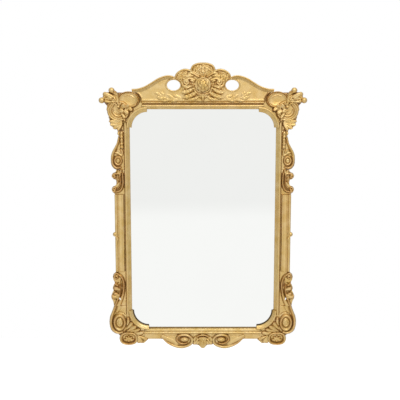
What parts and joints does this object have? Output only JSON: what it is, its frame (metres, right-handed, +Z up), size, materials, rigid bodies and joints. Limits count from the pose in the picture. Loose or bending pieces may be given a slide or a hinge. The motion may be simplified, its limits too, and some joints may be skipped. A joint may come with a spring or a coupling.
{
  "type": "overmantel mirror",
  "caption": "Tall wall mirror in a carved and gilded pine frame with a pierced swan-neck crest, scrolled sides and apron, backboards and swinging D-ring hangers.",
  "frame": {"origin": "middle of the back of the middle backboard, in the plane of the wall", "axes": "+X to the right for a viewer who faces the glass, +Y into the wall, +Z up; the mirror faces -Y"},
  "size_m": [1.126, 0.0895, 1.5871],
  "materials": {
    "gilding": "carved pine under gesso, water-gilded with gold leaf, rubbed and toned",
    "pine": "planed and aged, unfinished",
    "looking_glass": "silvered plate glass",
    "hanger_steel": "zinc-plated and dulled"
  },
  "bodies": {
    "frame": {"frame_stile_left": "pine", "frame_stile_right": "pine", "corner_ear_left": "pine", "corner_ear_right": "pine", "crest_brace_left": "pine", "crest_brace_right": "pine", "plate_fillet_left": "pine", "plate_fillet_right": "pine", "sight_moulding_left": "gilding", "sight_moulding_right": "gilding", "corner_moulding_top_left": "gilding", "corner_moulding_top_right": "gilding", "corner_moulding_bottom_left": "gilding", "corner_moulding_bottom_right": "gilding", "pilaster_left": "gilding", "pilaster_right": "gilding", "mid_bud_left": "gilding", "mid_bud_right": "gilding", "crest_moulding_left": "gilding", "crest_moulding_right": "gilding", "crest_leaf_left": "gilding", "crest_leaf_right": "gilding", "corner_cartouche_left": "gilding", "corner_cartouche_right": "gilding", "corner_spray_left": "gilding", "corner_spray_right": "gilding", "husk_drop_left": "gilding", "husk_drop_right": "gilding", "upper_volute_left": "gilding", "upper_volute_right": "gilding", "upper_c_scroll_left": "gilding", "upper_c_scroll_right": "gilding", "lower_c_scroll_left": "gilding", "lower_c_scroll_right": "gilding", "lower_volute_left": "gilding", "lower_volute_right": "gilding", "corner_patera_left": "gilding", "corner_patera_right": "gilding", "corner_leaf_bottom_left": "gilding", "corner_leaf_bottom_right": "gilding", "apron_scroll_left": "gilding", "apron_scroll_right": "gilding", "hanger_strap_left": "hanger_steel", "hanger_strap_right": "hanger_steel", "frame_rail_top": "pine", "frame_rail_bottom": "pine", "mirror_plate": "looking_glass", "plate_fillet_top": "pine", "plate_fillet_bottom": "pine", "backboard_lower": "pine", "backboard_middle": "pine", "backboard_upper": "pine", "sight_moulding_top": "gilding", "sight_moulding_bottom": "gilding", "crest_board": "gilding", "crest_cartouche": "gilding", "crest_rosette": "gilding", "apron_shell": "gilding"},
    "ring_left": {"hanger_ring_left": "hanger_steel"},
    "ring_right": {"hanger_ring_right": "hanger_steel"}
  },
  "joints": [
    {"name": "ring_left_swing", "type": "hinge", "parent": "frame", "child": "ring_left", "pos_m": [-0.158, 0.0049, 0.66], "axis": [1, 0, 0], "range_deg": [0, 180]},
    {"name": "ring_right_swing", "type": "hinge", "parent": "frame", "child": "ring_right", "pos_m": [0.158, 0.0049, 0.66], "axis": [1, 0, 0], "range_deg": [0, 180]}
  ]
}
